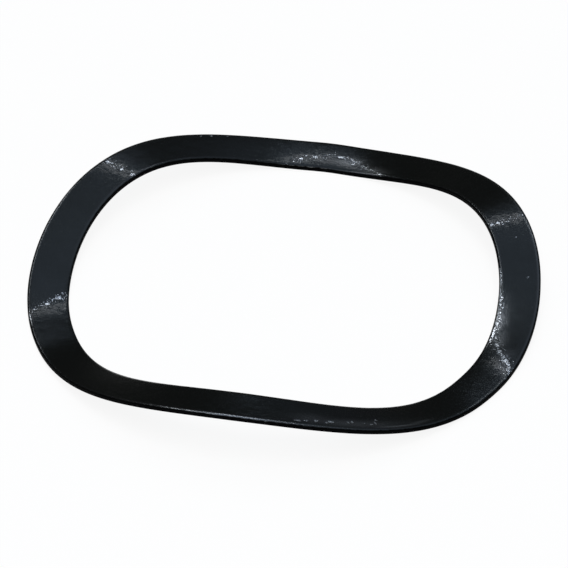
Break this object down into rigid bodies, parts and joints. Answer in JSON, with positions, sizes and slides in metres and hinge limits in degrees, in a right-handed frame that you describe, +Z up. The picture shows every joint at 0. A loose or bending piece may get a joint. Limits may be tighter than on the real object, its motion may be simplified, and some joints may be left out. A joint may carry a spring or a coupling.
{
  "type": "wave washer",
  "caption": "Round wave washer of black spring steel that keeps a light end load on a ball bearing in its housing.",
  "frame": {"origin": "on the washer's axis, at the surface that its three troughs lie on", "axes": "+Z up along the axis; -Y points at the tallest of the three crests; +Y at the trough opposite"},
  "size_m": [0.0464, 0.0464, 0.0052],
  "materials": {
    "black_spring_steel": "black oxide, oiled, with burnished marks where the press tool bent it"
  },
  "bodies": {
    "root": {"wave_washer": "black_spring_steel"}
  },
  "joints": []
}
